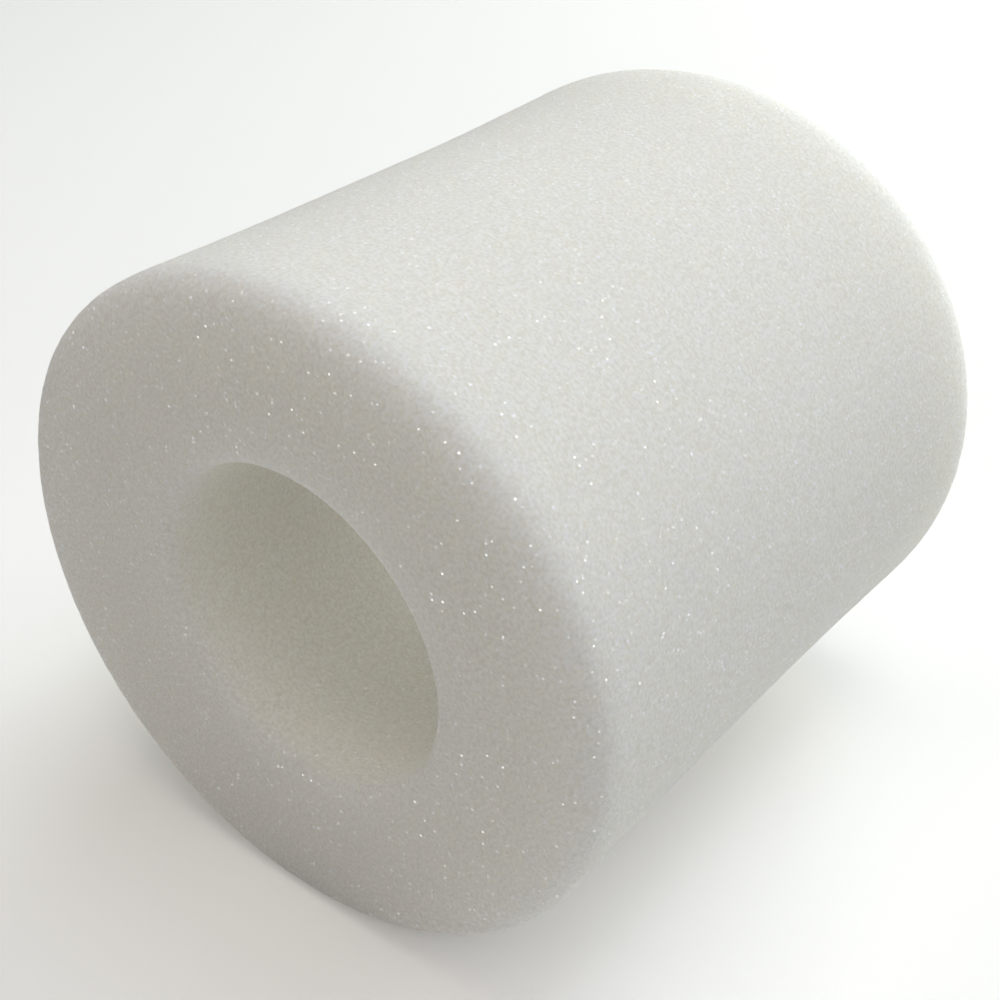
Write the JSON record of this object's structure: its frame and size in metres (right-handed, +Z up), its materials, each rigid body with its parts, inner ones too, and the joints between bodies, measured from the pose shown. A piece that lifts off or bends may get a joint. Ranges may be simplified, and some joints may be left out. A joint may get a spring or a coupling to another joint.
{
  "type": "sponge filter foam sleeve",
  "caption": "Thick-walled cylindrical foam sleeve with a round bore that slides over a filter's strainer tube.",
  "frame": {"origin": "on the surface the sleeve lies on, under the middle of its length and of its width", "axes": "+Y along the bore from the front face to the back face, +Z up from the surface the sleeve lies on, +X across"},
  "size_m": [0.1, 0.1, 0.0992],
  "materials": {
    "filter_foam": "matt open-cell polyurethane foam with fine cells, cut and not coated"
  },
  "bodies": {
    "root": {"foam_sleeve": "filter_foam"}
  },
  "joints": []
}
